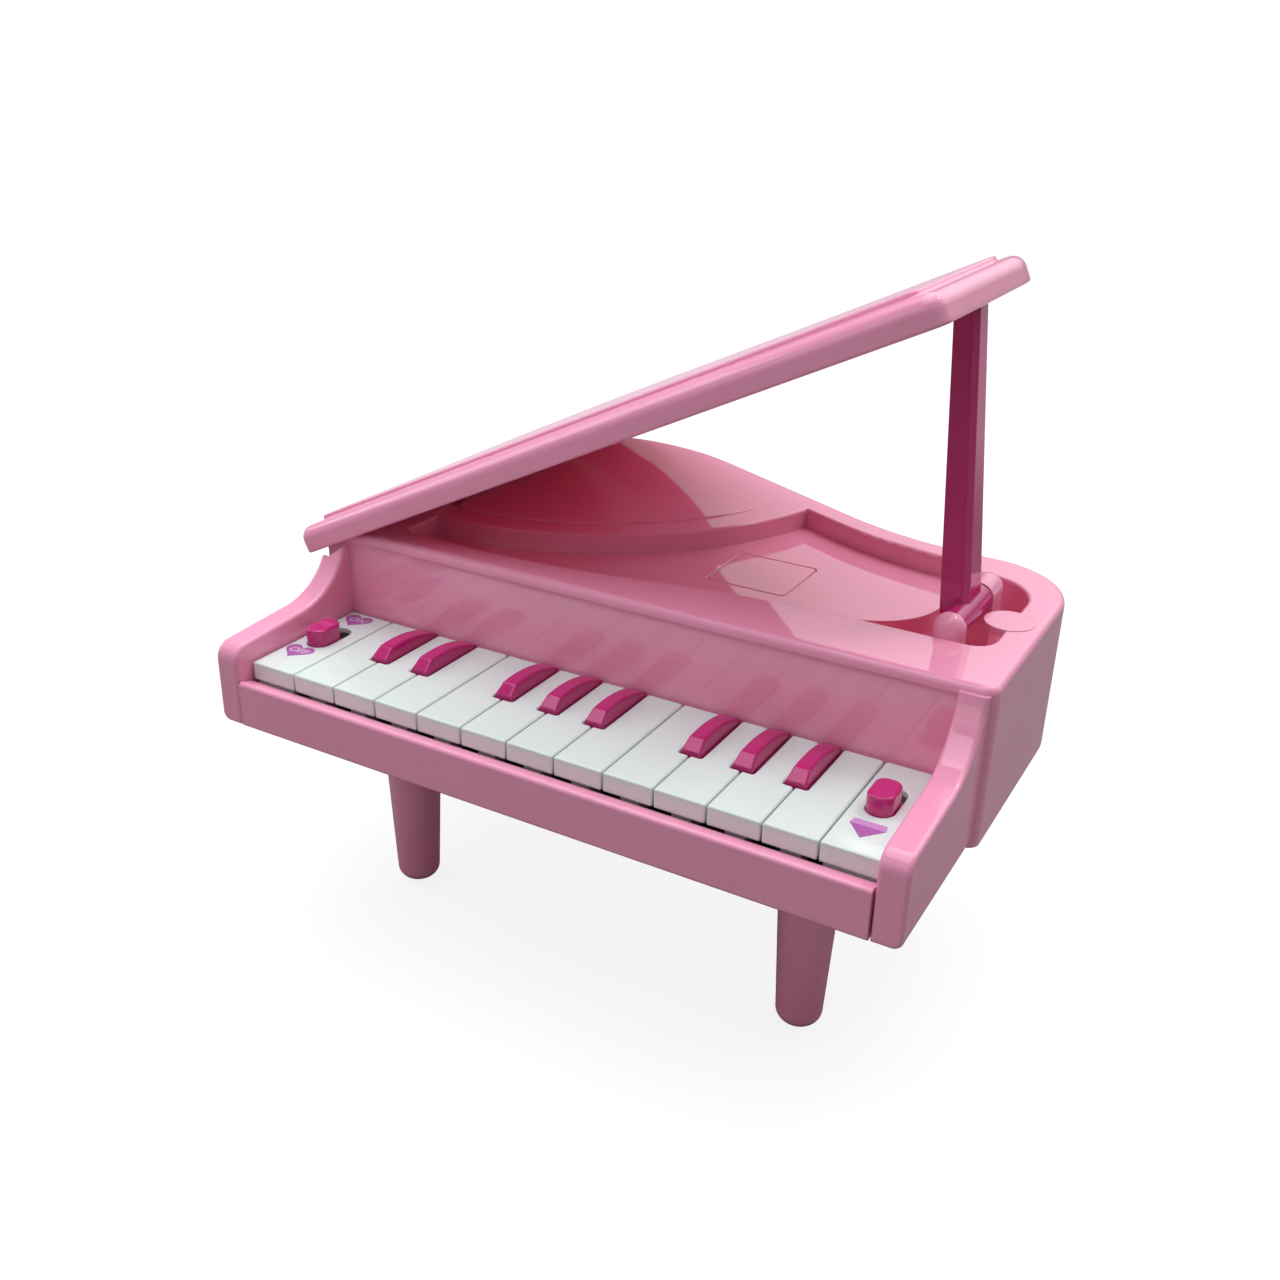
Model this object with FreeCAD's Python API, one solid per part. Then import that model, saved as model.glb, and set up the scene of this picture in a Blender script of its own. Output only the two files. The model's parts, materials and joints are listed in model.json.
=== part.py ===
import FreeCAD, Part
import math
import os

# Toy grand piano: a curved case on three legs, a sprung keyboard with eleven white and
# eight dark keys, two slide switches and a lid that stands open on a folding prop.
# Millimetres, +Z up, keys along X, the player sits on the -Y side.

V = FreeCAD.Vector

# Driving dimensions: overall case
leg_height = 69.5            # floor to the underside of the case
case_to_keys = 20.2          # underside of the case to the white key tops
keys_to_deck = 29.2          # white key tops to the deck
side_step = 1.8              # case side outside the arms
wall = 2.2                   # moulded wall of the case
deck_round = 2.2             # rounding of the deck's outer edge
deck_lip = 3.4               # front edge of the deck that stands over the fallboard
fall_inset = 1.0             # fallboard behind that edge
body_corner = 4.0            # rounding of the two front corners
split_gap = 0.25             # gap between the two case halves
sink = 0.5                   # joined forms reach this far into each other

# Driving dimensions: plan of the case, read clockwise from the right side
corner_r = 29.5              # right rear corner
side_length = 67.8           # straight stretch of the right side
hollow_r = 120.0             # hollow part of the bent side
bow_r = 90.0                 # bow of the tail
bend_angle = 27.0            # slant of the straight stretch between hollow and bow
bend_length = 72.9           # length of that stretch

# Driving dimensions: keyboard
key_pitch = 16.0
white_count = 11
black_after = (1, 2, 4, 5, 6, 8, 9, 10)   # dark keys follow these white keys
key_gap = 0.5                # gap between neighbouring keys
key_length = 47.6            # visible length of a white key
key_edge = 0.6               # rounding of a key's top edge
key_corner = 1.1             # rounding of a key's rear corners
key_nose = 0.5               # rounding of a key's front corners
key_notch_round = 0.8
key_skin = 1.8               # moulded thickness of a key
key_front = 5.8              # height of a key's front face
key_stem_width = 6.0
key_travel = 3.0             # degrees
black_length = 25.9
black_width = 6.2
black_top_width = 4.5
black_rise = 3.6             # dark key above the white keys
black_tail = 0.5             # its rear end above the white keys
black_nose = 3.4             # length of its sloped front
black_edge = 0.7
black_notch_gap = 0.6
black_inset = 0.6            # stem inside the dark key's sides
fall_gap = 1.1               # rear ends of the keys to the fallboard
stem_top_drop = 3.6          # stem top below the white key tops
stem_depth = 7.6
dome_row = 24.0              # rubber domes behind the key fronts
pivot_setback = 14.3         # pivot rod behind the deck's front edge
pivot_drop = 7.7             # pivot rod below the white key tops
rod_r = 1.5
knuckle_r = 4.0
running_gap = 0.05           # radial clearance of turning fits

# Driving dimensions: cheek arms and key slip
arm_thickness = 8.5
block_width = 17.0           # white end block
arm_gap = 0.7                # end block to arm
arm_front = 6.4              # arm face in front of the key fronts
arm_nose_rise = 6.3          # arm top over the white keys at the front
arm_nose_r = 5.5
arm_slope = 4.0              # degrees
arm_sweep_r = 24.0           # hollow sweep up to the deck
arm_sweep_y = 25.0           # where the sweep starts
arm_edge = 1.3
arm_foot_round = 3.0         # lower outer edge
rail_front = 6.6
rail_back = 0.9
rail_top_drop = 4.4
rail_back_drop = 6.2
rail_gap = 0.45              # slip to arm
rail_edge = 1.2

# Driving dimensions: sunken bay in the deck
bay_rim = 9.8                # rim round the right side and the tail
bay_left_rim = 26.0
bay_strip = 10.6             # deck strip in front of the bay at the left
bay_strip_right = 25.1       # and at the right, by the prop
sweep_left = 56.0            # the strip widens between these distances from both sides
sweep_right = 50.0
bay_corner = 4.5
bay_edge = 1.0               # rounding of the bay's upper edge
bay_depth = 7.0
bay_skin = 2.0
shelf_side = 31.0            # centre of the shelf's round front from the left side
shelf_front = 18.7           # bay floor in front of the shelf
shelf_r = 103.0
panel_inset = 10.6           # raised panel on the rear shelf, from the shelf's front
panel_back = 25.7            # and from the case sides
panel_corner = 4.0
panel_height = 0.5
panel_edge = 0.45
well_side = 61.0             # left end of the deeper channel from the right side
well_width = 13.4            # channel along the deck strip
well_step_side = 35.7        # bay floor beside the channel, with a large round corner
well_step_round = 25.3
well_depth = 17.0
well_round = 5.0
well_corner = 7.0            # its right front corner
pocket_r = 18.1              # round rear end of the well, tangent to the right rim
pocket_shift = 4.3           # centre of that round end in front of the case corner's
hatch_side = 94.7            # middle of the square hatch line on the bay floor from the right side
hatch_setback = 57.7         # and behind the deck's front edge
hatch_size = 28.2
hatch_corner = 2.0
hatch_line = 0.5
hatch_depth = 0.4

# Driving dimensions: lid
lid_overhang = 3.2
lid_skirt = 2.2
lid_height = 8.7
lid_plate = 2.0
lid_edge_r = 4.2
lid_foot_r = 0.8             # lower outer edge
lid_corner_r = 4.6
lid_seat = 0.1               # closed lid above the deck
panel_border = 7.2
panel_rise = 1.6
panel_round = 0.75           # rounding of the raised panel's upper and lower edge
lid_open = 25.9              # degrees, as it rests on the prop
lid_lift = 15.0              # degrees further up
lid_clear = 0.5
hinge_side = 20.0            # hinge axis from the left side
hinge_drop = 13.1            # hinge axis below the deck
hinge_setback = 44.3         # front hinge behind the deck's front edge
hinge_arm = 8.0
hinge_cheek = 2.6
hinge_gap = 0.4
hinge_pin_r = 1.5
hinge_knuckle_r = 4.6
hinge_arm_gap = 0.6          # hinge arm's eye smaller than the plates
guide_gap = 0.4              # prop top between two small guides under the lid
guide_thick = 1.2
guide_depth = 2.5

# Driving dimensions: prop
prop_side = 22.8             # prop pin from the right side
prop_rise = 1.8              # prop pin above the deck
prop_shift = 0.95            # stick behind the middle of the barrel
prop_left = 5.7              # left side of the stick at the pin, left of the pin
prop_width = 8.0             # stick at the pin
prop_depth = 14.9
prop_top_left = 5.3          # and at its top
prop_top_width = 6.4
prop_top_depth = 10.5
prop_bevel = 1.2             # slanted front right edge of the stick
prop_bevel_depth = 3.6
prop_edge = 0.5
prop_lean = 4.9              # degrees, to the left
prop_barrel_r = 4.4
prop_ear_r = 4.7
prop_ear_front = 4.8         # lengths of the two ears
prop_ear_back = 13.7
prop_ear_sink = 0.2          # front ear into the deck strip
prop_ear_round = 4.3
prop_span = 26.0             # barrel length between the ears
prop_pin_r = 1.5
prop_tip_gap = 0.35
tongue_shift = 4.4           # round tongue of the prop stop behind the middle of the barrel
tongue_r = 7.5
tongue_rise = 0.2
tongue_gap = 0.5

# Driving dimensions: legs
leg_top_r = 10.2
leg_foot_r = 7.0
leg_foot_round = 4.6
leg_side = 43.0              # front legs from the case sides
leg_y = 37.0
rear_leg_side = 12.0         # rear leg beside the tail's centre
spigot_r = 5.5
spigot_height = 6.6
socket_wall = 2.4
fixed_gap = 0.05             # radial clearance of push fits

# Driving dimensions: switch blocks and knobs
knob_width = 7.6
knob_length = 11.4
knob_rise = 5.6
knob_y = 24.3
knob_shift = -0.7            # both knobs stand a little to the left
knob_travel = 5.0
knob_gap = 0.4
knob_round = 3.2
knob_edge = 0.8
knob_stem_width = 2.4
knob_stem_length = 3.0
flange_border = 1.6
flange_thick = 1.2
switch_width = 8.0
switch_length = 15.0
switch_height = 3.6
switch_slot = 2.0            # depth to which the knob's stem reaches

# Driving dimensions: works inside
floor = 2.2                  # case floor thickness
board_front = 12.0
board_back = 28.0
board_thick = 1.6
board_lift = 1.2
board_rest_r = 1.8
strip_thick = 0.4
dome_r = 2.6
dome_gap = 0.3
dome_taper = 0.6             # top of a dome to its foot
strip_border = 0.6
chip_key = 2.5               # resin drop, in keys right of the middle
chip_setback = 4.5
chip_r = 3.2
chip_height = 1.2
chip_edge = 0.8
speaker_side = 68.0
speaker_setback = 50.3
speaker_r = 25.0
speaker_depth = 12.0
basket_lip = 2.0             # height of the basket's flange
basket_skin = 1.2
basket_border = 1.0          # basket's opening outside the cone
magnet_r = 13.0
magnet_height = 7.0
cone_r = 21.0
cone_depth = 7.0
cone_cap_r = 6.0
cone_paper = 0.6
cone_lift = 0.4              # cone above the grille
cone_rim = 0.9               # glued rim of the cone
ring_height = 3.0
ring_wall = 2.0
grille_slots = 7
grille_pitch = 5.0
grille_width = 2.2
cell_r = 7.1
cell_length = 50.0
cell_pitch = 15.0
cell_count = 3
cell_end = 0.6               # spring space at both ends of a cell
nub_r = 2.6
nub_length = 1.2
battery_side = 62.0
battery_setback = 60.3
battery_wall = 1.6
contact_space = 2.0
contact_thick = 0.5
contact_half = 4.5           # half the side of a contact plate
contact_r = 3.2              # foot and tip of its raised cone
contact_tip_r = 2.0
contact_reach = 0.3          # cone past the contact space
door_gap = 0.3
door_seat = 0.2              # door below the inner face of the floor
door_corner = 1.0
door_tab_width = 11.0
door_tab_length = 9.0
door_tab_thick = 1.2
door_screw_bite = 6.0
boss_r = 3.4
screw_r = 1.3
screw_head_r = 2.7
screw_head = 1.6
screw_bite = 9.0
driver_half = 1.62           # driver slot in a screw head
driver_width = 0.6
driver_depth = 0.5

# Levels and places that follow from the values above
case_bottom = leg_height
key_top = case_bottom + case_to_keys
deck = key_top + keys_to_deck
floor_top = case_bottom + floor
pivot_z = key_top - pivot_drop
stem_top = key_top - stem_top_drop
stem_bottom = stem_top - stem_depth
keys_half = key_pitch * white_count / 2.0
arm_in = keys_half + block_width + arm_gap
arm_out = arm_in + arm_thickness
body_half = arm_out + side_step
fall_y = key_length + fall_gap - fall_inset
corner_y = fall_y + side_length
pivot_y = fall_y + pivot_setback
bay_floor = deck - bay_depth
well_floor = deck - well_depth
hinge_z = deck - hinge_drop
prop_z = deck + prop_rise
board_top = floor_top + board_lift + board_thick
corner_x = body_half - corner_r
bend = math.radians(bend_angle)
turn = hollow_r + bow_r
tail_x = corner_x - turn * math.sin(bend) - bend_length * math.cos(bend)
tail_top = corner_y + corner_r + turn * (1 - math.cos(bend)) + bend_length * math.sin(bend)
tail_r = tail_x + body_half
tail_y = tail_top - tail_r
bay_left = body_half - bay_left_rim
bay_front = fall_y + bay_strip
bay_front_right = fall_y + bay_strip_right
shelf_x = shelf_side - body_half
shelf_y = bay_front + shelf_front + shelf_r
ear_gap = 4 * running_gap
prop_x = body_half - prop_side
prop_y = bay_front_right - prop_ear_sink + prop_ear_front + ear_gap + prop_span / 2.0
stick_y = prop_y + prop_shift
well_left = body_half - well_side
well_step_x = body_half - well_step_side
well_step_y = bay_front_right + well_width
pocket_x = body_half - bay_rim - pocket_r
pocket_y = corner_y - pocket_shift
well_back = pocket_y + pocket_r
hatch_x = body_half - hatch_side
hatch_y = fall_y + hatch_setback
hinge_x = hinge_side - body_half
hinge_y = (fall_y + hinge_setback, tail_y)
leg_x = body_half - leg_side
rear_leg_x = tail_x + rear_leg_side
rear_leg_y = tail_y
speaker_x = body_half - speaker_side
speaker_y = fall_y + speaker_setback
battery_x = battery_side - body_half
battery_y = fall_y + battery_setback


def polygon(points):
    return Part.makePolygon([V(*p) for p in points] + [V(*points[0])])


def prism(points, direction):
    return Part.Face(polygon(points)).extrude(V(*direction))


def box(x0, x1, y0, y1, z0, z1):
    return Part.makeBox(x1 - x0, y1 - y0, z1 - z0, V(x0, y0, z0))


def post(x, y, z0, z1, r):
    return Part.makeCylinder(r, z1 - z0, V(x, y, z0))


def bar_x(x0, x1, y, z, r):
    return Part.makeCylinder(r, x1 - x0, V(x0, y, z), V(1, 0, 0))


def bar_y(x, y0, y1, z, r):
    return Part.makeCylinder(r, y1 - y0, V(x, y0, z), V(0, 1, 0))


def slot(x, y, z0, z1, width, length):
    """Upright prism with round ends, long in Y."""
    r = width / 2.0
    half = length / 2.0 - r
    shape = box(x - r, x + r, y - half, y + half, z0, z1)
    return shape.multiFuse([post(x, y - half, z0, z1, r), post(x, y + half, z0, z1, r)]).removeSplitter()


def edges_at(shape, z):
    """Edges that lie flat at one height."""
    return [e for e in shape.Edges if all(abs(v.Z - z) < 1e-4 for v in e.Vertexes)]


def upright_edges(shape, test):
    """Straight vertical edges whose place passes a test."""
    found = []
    for e in shape.Edges:
        if len(e.Vertexes) == 2:
            a = e.Vertexes[0].Point
            b = e.Vertexes[1].Point
            if abs(a.x - b.x) < 1e-5 and abs(a.y - b.y) < 1e-5 and test(a.x, a.y):
                found.append(e)
    return found


def join(shapes):
    return shapes[0].multiFuse(shapes[1:]).removeSplitter()


def arc(cx, cy, r, a0, a1):
    mid = math.radians((a0 + a1) / 2.0)
    ends = [math.radians(a) for a in (a0, a1)]
    pts = [V(cx + r * math.cos(a), cy + r * math.sin(a), 0) for a in (ends[0], mid, ends[1])]
    return Part.Arc(*pts).toShape()


def plan(d):
    """Outline of the case from above, moved outward by d."""
    w = body_half + d
    front = fall_y - d
    hollow_y = corner_y + corner_r + hollow_r
    bow_y = tail_top - bow_r
    bow_end = V(tail_x + (bow_r + d) * math.sin(bend), bow_y + (bow_r + d) * math.cos(bend), 0)
    hollow_end = V(corner_x - (hollow_r - d) * math.sin(bend), hollow_y - (hollow_r - d) * math.cos(bend), 0)
    edges = [
        Part.makeLine(V(-w, front, 0), V(-w, tail_y, 0)),
        arc(tail_x, tail_y, tail_r + d, 180, 90),
        arc(tail_x, bow_y, bow_r + d, 90, 90 - bend_angle),
        Part.makeLine(bow_end, hollow_end),
        arc(corner_x, hollow_y, hollow_r - d, 270 - bend_angle, 270),
        arc(corner_x, corner_y, corner_r + d, 90, 0),
        Part.makeLine(V(w, corner_y, 0), V(w, front, 0)),
        Part.makeLine(V(w, front, 0), V(-w, front, 0)),
    ]
    return Part.Wire(edges)


def slab(d, z0, z1):
    """Case outline, moved outward by d, between two heights."""
    face = Part.Face(plan(d))
    face.translate(V(0, 0, z0))
    return face.extrude(V(0, 0, z1 - z0))


def rounded_slab(d, z0, z1, r):
    """The same with its two front corners rounded."""
    shape = slab(d, z0, z1)
    front = fall_y - d
    return shape.makeFillet(r, upright_edges(shape, lambda x, y: abs(y - front) < 1e-3))


def inner_edges(shape, z, d):
    """Edges at one height that lie inside the case outline moved outward by d."""
    outline = Part.Face(plan(d))
    found = []
    for e in edges_at(shape, z):
        middle = e.valueAt((e.FirstParameter + e.LastParameter) / 2.0)
        if outline.isInside(V(middle.x, middle.y, 0), 1e-3, True):
            found.append(e)
    return found


def lid_relief(depth):
    """Space that the fully raised lid needs over the left rim."""
    angle = math.radians(lid_open + lid_lift)
    reach = hinge_drop + lid_seat + lid_height - lid_plate - lid_clear - depth
    foot_x = hinge_x - reach * math.sin(angle)
    foot_z = hinge_z + reach * math.cos(angle)
    far = body_half / 2.0
    low = (foot_x - far * math.cos(angle), foot_z - far * math.sin(angle))
    high = (foot_x + far * math.cos(angle), foot_z + far * math.sin(angle))
    pts = [(low[0], 0, low[1]), (high[0], 0, high[1]), (low[0], 0, high[1])]
    return prism(pts, (0, 2 * tail_top, 0))


def behind_strip(d, z0, z1):
    """Space behind the deck strip, whose inner edge swings back toward the prop."""
    x0 = sweep_left - body_half
    x1 = body_half - sweep_right
    swing = bay_front_right - bay_front
    r = ((x1 - x0) ** 2 + swing ** 2) / (4.0 * swing)
    angle = math.degrees(math.asin((x1 - x0) / (2.0 * r)))
    far = 2 * body_half
    y0 = bay_front - d
    y1 = bay_front_right - d
    edges = [
        Part.makeLine(V(-far, y0, 0), V(x0, y0, 0)),
        arc(x0, bay_front + r, r + d, 270, 270 + angle),
        arc(x1, bay_front_right - r, r - d, 90 + angle, 90),
        Part.makeLine(V(x1, y1, 0), V(far, y1, 0)),
        Part.makeLine(V(far, y1, 0), V(far, tail_top, 0)),
        Part.makeLine(V(far, tail_top, 0), V(-far, tail_top, 0)),
        Part.makeLine(V(-far, tail_top, 0), V(-far, y0, 0)),
    ]
    face = Part.Face(Part.Wire(edges))
    face.translate(V(0, 0, z0))
    return face.extrude(V(0, 0, z1 - z0))


def bay(d, z0, z1):
    """Sunken bay between the deck strip, the rims and the rear shelf."""
    left = -bay_left - d
    right = body_half - bay_rim + d
    shape = slab(d - bay_rim, z0, z1).common(behind_strip(d, z0, z1))
    shape = shape.common(box(left, 2 * body_half, 0, tail_top, z0, z1))
    shape = shape.cut(post(shelf_x, shelf_y, z0 - 1, z1 + 1, shelf_r - d))
    block = box(well_step_x + d, 2 * body_half, pocket_y, tail_top, z0 - 1, z1 + 1)
    shape = shape.cut(block.cut(post(pocket_x, pocket_y, z0 - 2, z1 + 2, pocket_r + d)))
    front = bay_front_right + 1e-3
    shape = shape.makeFillet(bay_corner + d, upright_edges(shape, lambda x, y: y < front and x < left + 1e-3))
    return shape.makeFillet(well_corner + d, upright_edges(shape, lambda x, y: y < front and x > right - 1e-3))


def well(d, z0, z1):
    """Deeper channel round the foot of the prop."""
    left = well_left - d
    back = well_back + d
    step = box(left - 1, well_step_x - d, well_step_y + d, back + 1, z0 - 1, z1 + 1)
    step = step.makeFillet(well_step_round - d, upright_edges(step, lambda x, y: x > left and y < back))
    channel = box(left, body_half, 0, back, z0, z1).cut(step)
    channel = channel.common(bay(d, z0 - 1, z1 + 1))
    return channel.makeFillet(well_round, upright_edges(channel, lambda x, y: x < left + 1e-3))


def hatch_square(inset):
    """Square with rounded corners over the bay floor, inset from the hatch's outline."""
    half = hatch_size / 2.0 - inset
    shape = box(hatch_x - half, hatch_x + half, hatch_y - half, hatch_y + half, bay_floor - hatch_depth, deck)
    return shape.makeFillet(hatch_corner - inset, upright_edges(shape, lambda x, y: True))


def hatch_groove():
    """Thin square line on the bay floor."""
    return hatch_square(0).cut(hatch_square(hatch_line))


def shelf_panel():
    """Low raised panel on the rear shelf, with rounded edges."""
    top = deck + panel_height
    panel = post(shelf_x, shelf_y, deck - sink, top, shelf_r - panel_inset)
    panel = panel.common(slab(-panel_back, deck - sink, top))
    panel = panel.makeFillet(panel_corner, upright_edges(panel, lambda x, y: True))
    return panel.makeFillet(panel_edge, edges_at(panel, top))


def arm(side):
    """Cheek arm: upright nose, gently sloped top and a hollow sweep up to the deck."""
    slope = math.radians(arm_slope)
    nose_z = key_top + arm_nose_rise
    sweep_z = nose_z + (arm_sweep_y + arm_front) * math.tan(slope)
    centre_y = arm_sweep_y - arm_sweep_r * math.sin(slope)
    centre_z = sweep_z + arm_sweep_r * math.cos(slope)
    top_y = centre_y + math.sqrt(arm_sweep_r ** 2 - (centre_z - deck + deck_round) ** 2)
    mid = math.radians(-45.0)
    x0 = side * arm_in
    start = V(x0, arm_sweep_y, sweep_z)
    middle = V(x0, centre_y + arm_sweep_r * math.cos(mid), centre_z + arm_sweep_r * math.sin(mid))
    end = V(x0, top_y, deck - deck_round)
    back = fall_y + wall
    edges = [
        Part.makeLine(V(x0, -arm_front, case_bottom), V(x0, -arm_front, nose_z)),
        Part.makeLine(V(x0, -arm_front, nose_z), start),
        Part.Arc(start, middle, end).toShape(),
        Part.makeLine(end, V(x0, back, deck - deck_round)),
        Part.makeLine(V(x0, back, deck - deck_round), V(x0, back, case_bottom)),
        Part.makeLine(V(x0, back, case_bottom), V(x0, -arm_front, case_bottom)),
    ]
    solid = Part.Face(Part.Wire(edges)).extrude(V(side * arm_thickness, 0, 0))
    nose = [e for e in solid.Edges if all(abs(v.Y + arm_front) < 1e-4 and v.Z > nose_z - 1 for v in e.Vertexes)]
    solid = solid.makeFillet(arm_nose_r, nose)
    foot = [e for e in solid.Edges if e.BoundBox.ZMax < case_bottom + 1e-4 and e.BoundBox.XLength < 1e-4
            and abs(e.BoundBox.XMin - side * arm_out) < 1e-4]
    solid = solid.makeFillet(arm_foot_round, foot)
    outer = [e for e in solid.Edges if len(e.Vertexes) == 2 and e.BoundBox.XLength < 1e-4
             and e.BoundBox.YMax < fall_y and e.BoundBox.ZMax > key_top - 1]
    return solid.makeFillet(arm_edge, outer)


def skirt_relief():
    """Space for the lid's front skirt over the left arm when the lid is fully raised."""
    angle = math.radians(lid_open + lid_lift)
    dx = -body_half - lid_overhang - hinge_x
    dz = hinge_drop + lid_seat - lid_clear
    low_x = hinge_x + dx * math.cos(angle) - dz * math.sin(angle)
    low_z = hinge_z + dx * math.sin(angle) + dz * math.cos(angle)
    far = body_half / 2.0
    high_x = low_x + far * math.cos(angle)
    high_z = low_z + far * math.sin(angle)
    y0 = fall_y - lid_overhang - lid_clear
    pts = [(low_x - far, y0, low_z), (low_x, y0, low_z), (high_x, y0, high_z), (low_x - far, y0, high_z)]
    return prism(pts, (0, fall_y - y0, 0))


def hinge_cheeks():
    """Two pairs of hinge plates hanging under the left rim."""
    plates = []
    for y in hinge_y:
        for side in (-1, 1):
            inner = y + side * (hinge_arm / 2.0 + hinge_gap)
            y0 = min(inner, inner + side * hinge_cheek)
            r = hinge_knuckle_r
            plate = box(hinge_x - r, hinge_x + r, y0, y0 + hinge_cheek, hinge_z, deck - wall / 2)
            plates.append(plate)
            plates.append(bar_y(hinge_x, y0, y0 + hinge_cheek, hinge_z, r))
    return plates


def hinge_openings():
    """Slots in the left rim for the lid's hinge arms and the bores for their pins."""
    cuts = []
    angle = math.radians(lid_open + lid_lift)
    reach = hinge_drop + lid_seat + lid_height - lid_plate
    left = hinge_x - reach * math.sin(angle) - hinge_knuckle_r * math.cos(angle) - lid_clear
    right = hinge_x + hinge_knuckle_r + hinge_gap
    half = hinge_arm / 2.0 + hinge_gap
    for y in hinge_y:
        cuts.append(box(left, right, y - half, y + half, hinge_z - hinge_knuckle_r, deck + 1))
        span = half + hinge_cheek + 1
        cuts.append(bar_y(hinge_x, y - span, y + span, hinge_z, hinge_pin_r + fixed_gap))
    return cuts


def boss_places():
    inset = wall + boss_r + split_gap
    rim_x = body_half - inset
    strip_y = (fall_y + wall + bay_front - bay_skin) / 2.0
    return [
        (-rim_x, strip_y),
        (rim_x, strip_y),
        (rim_x, corner_y),
        (-rim_x, tail_y),
        (tail_x, tail_top - inset),
    ]


def ear_places():
    half = prop_span / 2.0 + ear_gap
    front = prop_y - half
    back = prop_y + half
    return (front - prop_ear_front, front), (back, back + prop_ear_back)


def upper_case():
    shell = rounded_slab(0, case_bottom, deck, body_corner)
    shell = shell.makeFillet(deck_round, edges_at(shell, deck))
    hollow = rounded_slab(-wall, case_bottom - 1, deck - wall, body_corner - wall).cut(lid_relief(wall))
    shell = shell.cut(hollow)
    parts = [shell, arm(-1), arm(1)]
    parts.append(bay(bay_skin, bay_floor - bay_skin, deck - wall / 2))
    parts.append(well(bay_skin, well_floor - bay_skin, deck - wall / 2))
    parts += hinge_cheeks()
    for x, y in boss_places():
        parts.append(post(x, y, floor_top + split_gap, deck - wall / 2, boss_r))
    case = join(parts)
    case = case.cut(bay(0, bay_floor, deck + 1))
    case = case.cut(well(0, well_floor, deck + 1))
    case = case.cut(hatch_groove())
    case = case.makeFillet(bay_edge, inner_edges(case, deck, -bay_rim / 2.0))

    # Prop stop: a round tongue from the right rim, and two round-topped ears
    tongue_x = prop_x + prop_barrel_r + tongue_gap + tongue_r
    tongue_y = prop_y + tongue_shift
    rim = body_half - bay_rim / 2.0
    tongue = post(tongue_x, tongue_y, deck - bay_skin, deck + tongue_rise, tongue_r)
    neck = box(tongue_x, rim, tongue_y - tongue_r, tongue_y + tongue_r, deck - bay_skin, deck)
    additions = [case, shelf_panel(), tongue, neck]
    for y0, y1 in ear_places():
        ear = bar_y(prop_x, y0, y1, prop_z, prop_ear_r)
        stand = box(prop_x - prop_ear_r, prop_x + prop_ear_r, y0, y1, well_floor - 1, prop_z)
        ear = ear.fuse(stand).removeSplitter()
        outer_y = y0 if y0 < prop_y else y1
        rounded = [e for e in ear.Edges if abs(e.BoundBox.YMin - outer_y) < 1e-4 and e.BoundBox.YLength < 1e-4
                   and e.BoundBox.ZMax > prop_z + 1]
        additions.append(ear.makeFillet(prop_ear_round, rounded))
    case = join(additions)

    # Openings: key slot under the fallboard, hinge slots, pin bores, screw pilots, lid sweep
    cuts = [box(-arm_in, arm_in, fall_y - 1, fall_y + wall + 1, case_bottom - 1, stem_top + lid_clear)]
    cuts.append(box(-arm_in, arm_in, fall_y - 1, fall_y + fall_inset, case_bottom - 1, deck - deck_lip))
    cuts += hinge_openings()
    cuts.append(skirt_relief())
    cuts.append(lid_relief(0))
    (front0, front1), (back0, back1) = ear_places()
    cuts.append(bar_y(prop_x, front0 + wall, back1 - wall, prop_z, prop_pin_r + fixed_gap))
    for x, y in boss_places():
        cuts.append(post(x, y, case_bottom, floor_top + screw_bite + 2, screw_r + fixed_gap))
    for tool in cuts:
        case = case.cut(tool)
    return case.removeSplitter()


def legs():
    return ((-leg_x, leg_y), (leg_x, leg_y), (rear_leg_x, rear_leg_y))


def board_rests():
    return [(x, y) for x in (-keys_half, -key_pitch / 4.0, keys_half) for y in (board_front + 2, board_back - 2)]


def battery_box():
    half_x = cell_pitch * cell_count / 2.0
    half_y = cell_length / 2.0 + contact_space
    return half_x, half_y


def door_screw_place():
    half_x, half_y = battery_box()
    return battery_x, battery_y + half_y + door_tab_length - door_tab_width / 2.0


def door_tab(d, thick):
    """Tab of the battery door that takes the screw, grown by d all round."""
    half_x, half_y = battery_box()
    x, y = door_screw_place()
    r = door_tab_width / 2.0 + d
    tab = box(x - r, x + r, battery_y + half_y - 2 * door_gap, y, case_bottom, case_bottom + thick)
    return tab.fuse(post(x, y, case_bottom, case_bottom + thick, r)).removeSplitter()


def key_rail():
    """Front key slip with a top that falls toward the keys."""
    x0 = -arm_in + rail_gap
    front_z = key_top - rail_top_drop
    back_z = key_top - rail_back_drop
    pts = [
        (x0, -rail_front, case_bottom),
        (x0, -rail_front, front_z),
        (x0, -rail_back, back_z),
        (x0, -rail_back, case_bottom),
    ]
    rail = prism(pts, (-2 * x0, 0, 0))
    edges = [e for e in rail.Edges if abs(e.BoundBox.YMin + rail_front) < 1e-4 and e.BoundBox.YLength < 1e-4
             and e.BoundBox.XLength > 1]
    return rail.makeFillet(rail_edge, edges)


def rod_brackets():
    """Uprights that carry the key rod in the gaps of the key pattern and at both ends."""
    places = [-keys_half + key_pitch * i for i in range(1, white_count) if i not in black_after]
    end = keys_half + key_pitch / 2.0
    thick = key_stem_width - 1
    uprights = []
    for x in [-end] + places + [end]:
        x0 = x - thick / 2.0
        uprights.append(box(x0, x0 + thick, pivot_y - knuckle_r, pivot_y + knuckle_r, floor_top - 0.1, pivot_z))
        uprights.append(bar_x(x0, x0 + thick, pivot_y, pivot_z, knuckle_r))
    return uprights


def speaker_grille():
    slots = []
    for i in range(grille_slots):
        x = speaker_x + (i - (grille_slots - 1) / 2.0) * grille_pitch
        reach = math.sqrt((cone_r - 1) ** 2 - (x - speaker_x) ** 2)
        slots.append(slot(x, speaker_y, case_bottom - 1, floor_top + 1, grille_width, 2 * reach))
    return slots


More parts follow.
